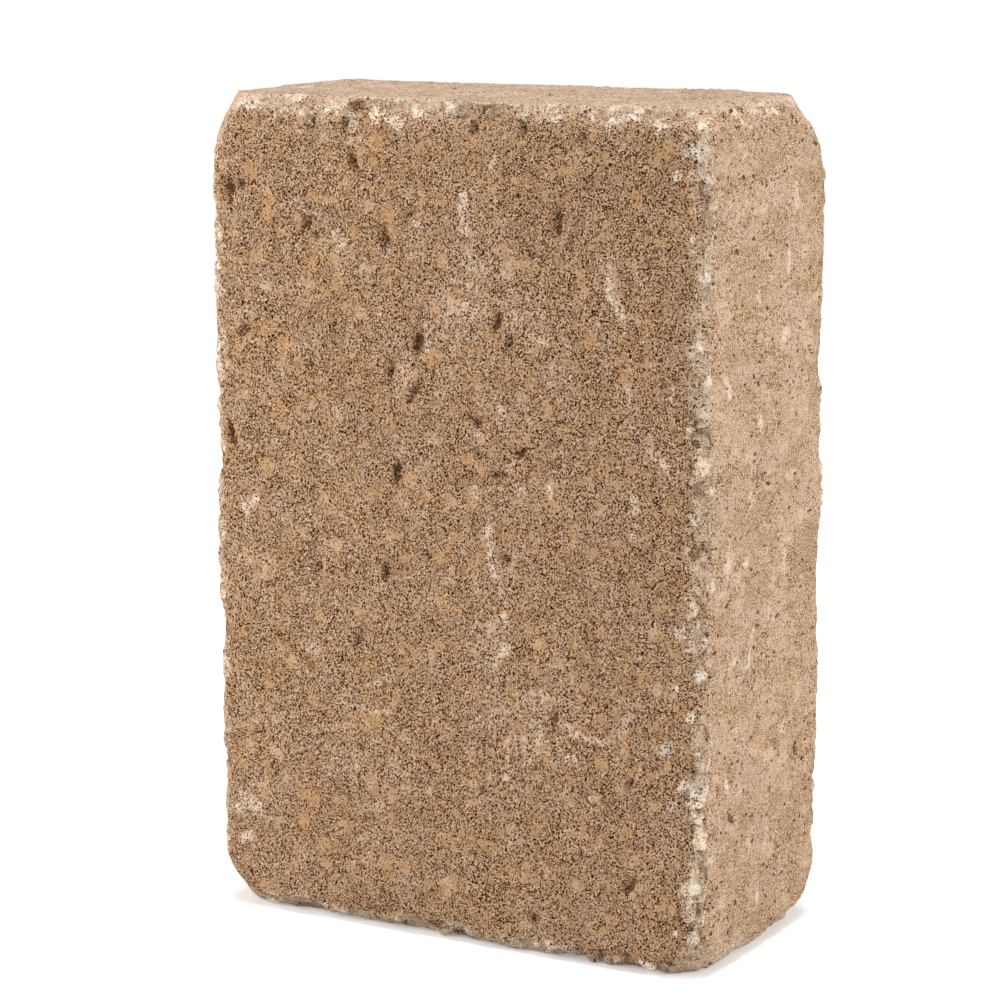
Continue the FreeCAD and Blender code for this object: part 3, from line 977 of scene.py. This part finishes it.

# Painted shade: the air holes are painted dark for the shade inside them.
hole_size = times(reckon("SUBTRACT", clouds(3.5, 3, 0.6, shift=12.6), 0.42), 1.3)
hole_edge = reckon("MULTIPLY_ADD", grain, 0.30, -0.15)
hole_depth = plus(reckon("SUBTRACT", hole_size, from_spot(2.0, drawn_out)), hole_edge)
hole_shows = times(between(hole_depth, -0.05, 0.05), by_side(0.85, 0.5))
body = paint_over(hole_shows, body, air_hole_shade)
print("nodes with the pores:", len(nodes))

# %% [markdown]
# Pits, torn arrises and gashes get painted shade, which makes them nearly black over the real
# shade of their depth. The skin knows how deep a pit is and where the middle line of a gash runs.
# Again noise is added before the threshold, so the dark breaks off and starts again as it does down a real
# tear.

# %% Darken the pits and gashes
# Painted shade: pits, torn arrises and the middle lines of gashes are darkened nearly black.
pit_painted_shade, gash_painted_shade = (0.050, 0.016, 0.002), (0.055, 0.018, 0.003)
hollow_here, gashed_here = known("hollow"), known("gashed")
tear = clouds(1.9, 3, 0.75, shift=5.2)
tear_line = plus(hollow_here, reckon("MULTIPLY_ADD", tear, 5.0, -2.8))
torn_dark = times(between(tear_line, 0.30, 0.75), between(hollow_here, 0.08, 0.30))
body = paint_over(times(torn_dark, 0.80), body, pit_painted_shade)

split = clouds(1.3, 2, 0.7, shift=13.3)
gash_line = plus(gashed_here, reckon("MULTIPLY_ADD", split, 3.2, -1.95))
gash_dark = times(between(gash_line, 0.22, 0.42), between(gashed_here, 0.05, 0.20))
body = paint_over(times(gash_dark, 0.74), body, gash_painted_shade)
links.new(body, surface.inputs["Base Color"])
print("nodes in all:", len(nodes))

# %% [markdown]
# Dry concrete is matt: high roughness and a weak, broad shine, the same all over. The bump
# takes its height from the grain alone, a few tenths of a millimetre deep, so that light
# catches each grain. It is weaker where the surface is smooth.

# %% Bump and shine
bump = nodes.new("ShaderNodeBump")
feed(bump.inputs["Height"], grain)
feed(bump.inputs["Strength"], between(covered, 0.0, 1.0, 1.0, 0.25))
feed(bump.inputs["Distance"], 0.9 * MM)
links.new(bump.outputs["Normal"], surface.inputs["Normal"])
surface.inputs["Roughness"].default_value = 0.95
surface.inputs["Specular IOR Level"].default_value = 0.03

thin_skin.materials.clear()
thin_skin.materials.append(concrete)
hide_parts("wall_block")
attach(skin, "root")
print("the skin stands for the CAD block")

# %% [markdown]
# ## The table
# The block stands on a plain pale floor that fades into a white room. More lamp light would
# turn it white, but would also bleach the block. So the floor and the world get a glow of their
# own that only the camera and shiny reflections see. It is faint on the floor near the
# block, where the block's shadow lies, and full further away.

# %% Lay the floor
floor_radius = 1.6
floor_mesh = bpy.data.meshes.new("floor")
around = [2 * math.pi * k / 96 for k in range(96)]
floor_rim = [(floor_radius * math.cos(a), floor_radius * math.sin(a), 0) for a in around]
floor_mesh.from_pydata(floor_rim, [], [range(96)])
floor = bpy.data.objects.new("floor", floor_mesh)
bpy.context.collection.objects.link(floor)
floor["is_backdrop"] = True
print("floor across, m:", 2 * floor_radius)

# %% Let the floor glow


def seen_rays(tree):
    """1 for rays from the camera and from glossy surfaces, and 0 for the light on the block."""
    path = tree.nodes.new("ShaderNodeLightPath")
    either = tree.nodes.new("ShaderNodeMath")
    either.operation = "MAXIMUM"
    tree.links.new(path.outputs["Is Camera Ray"], either.inputs[0])
    tree.links.new(path.outputs["Is Glossy Ray"], either.inputs[1])
    return either.outputs["Value"]


pale = bpy.data.materials.new("pale_floor")
pale.use_nodes = True
floor_nodes, floor_links = pale.node_tree.nodes, pale.node_tree.links
floor_surface = floor_nodes["Principled BSDF"]
floor_surface.inputs["Base Color"].default_value = (0.80, 0.80, 0.80, 1)
floor_surface.inputs["Roughness"].default_value = 0.9
floor_surface.inputs["Emission Color"].default_value = (1, 1, 1, 1)
floor_place = floor_nodes.new("ShaderNodeTexCoord")
from_middle = floor_nodes.new("ShaderNodeVectorMath")
from_middle.operation = "LENGTH"
floor_links.new(floor_place.outputs["Object"], from_middle.inputs[0])
floor_glow = floor_nodes.new("ShaderNodeMapRange")
floor_glow.interpolation_type = "SMOOTHSTEP"
floor_links.new(from_middle.outputs["Value"], floor_glow.inputs["Value"])
floor_glow.inputs["From Min"].default_value = 0.10
floor_glow.inputs["From Max"].default_value = 0.45
floor_glow.inputs["To Min"].default_value = 0.30
floor_glow.inputs["To Max"].default_value = 1.0
seen_floor = floor_nodes.new("ShaderNodeMath")
seen_floor.operation = "MULTIPLY"
floor_links.new(seen_rays(pale.node_tree), seen_floor.inputs[0])
floor_links.new(floor_glow.outputs["Result"], seen_floor.inputs[1])
floor_links.new(seen_floor.outputs["Value"], floor_surface.inputs["Emission Strength"])
floor_mesh.materials.append(pale)
print("the floor's glow is full from", floor_glow.inputs["From Max"].default_value, "m outwards")

# %% The white room
room_light = 0.32
world = bpy.data.worlds.new("pale_room")
bpy.context.scene.world = world
world.use_nodes = True
room_nodes, room_links = world.node_tree.nodes, world.node_tree.links
room = room_nodes["Background"]
room.inputs["Color"].default_value = (1, 1, 1, 1)
room_strength = room_nodes.new("ShaderNodeMapRange")
room_links.new(seen_rays(world.node_tree), room_strength.inputs["Value"])
room_strength.inputs["To Min"].default_value = room_light
room_strength.inputs["To Max"].default_value = 1.0
room_links.new(room_strength.outputs["Result"], room.inputs["Strength"])
print("the camera sees the room at 1.0, the block gets", room_light, "of it")

# %% [markdown]
# ## The light
# In the photograph the narrow right side is brighter than the front, the top is brightest, and
# the front gets darker from left to right. So a large lamp stands at the right, and turned just
# far enough back to miss the front. A smaller and much nearer lamp at the front left grazes the
# front, which brings out the sand, and falls off across it. A wide lamp hangs overhead. A lamp is
# set by how bright it makes a surface that is turned to it, so it can be moved without
# changing that.

# %% Hang the lamps


def soft_lamp(name, direction, distance, size, level):
    """A square lamp that faces the block and lights a surface turned to it to that level."""
    lamp = bpy.data.objects.new(name, bpy.data.lights.new(name, "AREA"))
    bpy.context.collection.objects.link(lamp)
    towards = Vector(direction).normalized()
    lamp.location = block_middle + towards * distance
    lamp.rotation_mode = "QUATERNION"
    lamp.rotation_quaternion = towards.to_track_quat("Z", "Y")
    lamp.data.size = size
    # The watts that make white paper, turned to the lamp at that distance, look `level` bright
    lamp.data.energy = level * math.pi**2 * distance**2
    print(name, "lamp, watts:", round(lamp.data.energy, 1))


soft_lamp("right", (0.92, 0.14, 0.25), 1.6, 0.7, 0.67)
soft_lamp("left", (-0.71, -0.65, 0.26), 0.70, 0.35, 0.79)
soft_lamp("overhead", (0.10, -0.10, 1.0), 1.6, 0.9, 0.92)
bpy.context.scene.view_settings.view_transform = "Standard"

# %% [markdown]
# ## Compare the size
# The dressed block has to stay inside the CAD block.

# %% Compare the boxes
new_low, new_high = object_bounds()
shrunk = [round((a - b) / MM, 2) for a, b in zip(cad_high - cad_low, new_high - new_low)]
print("the dressed block is smaller by, mm:", shrunk)
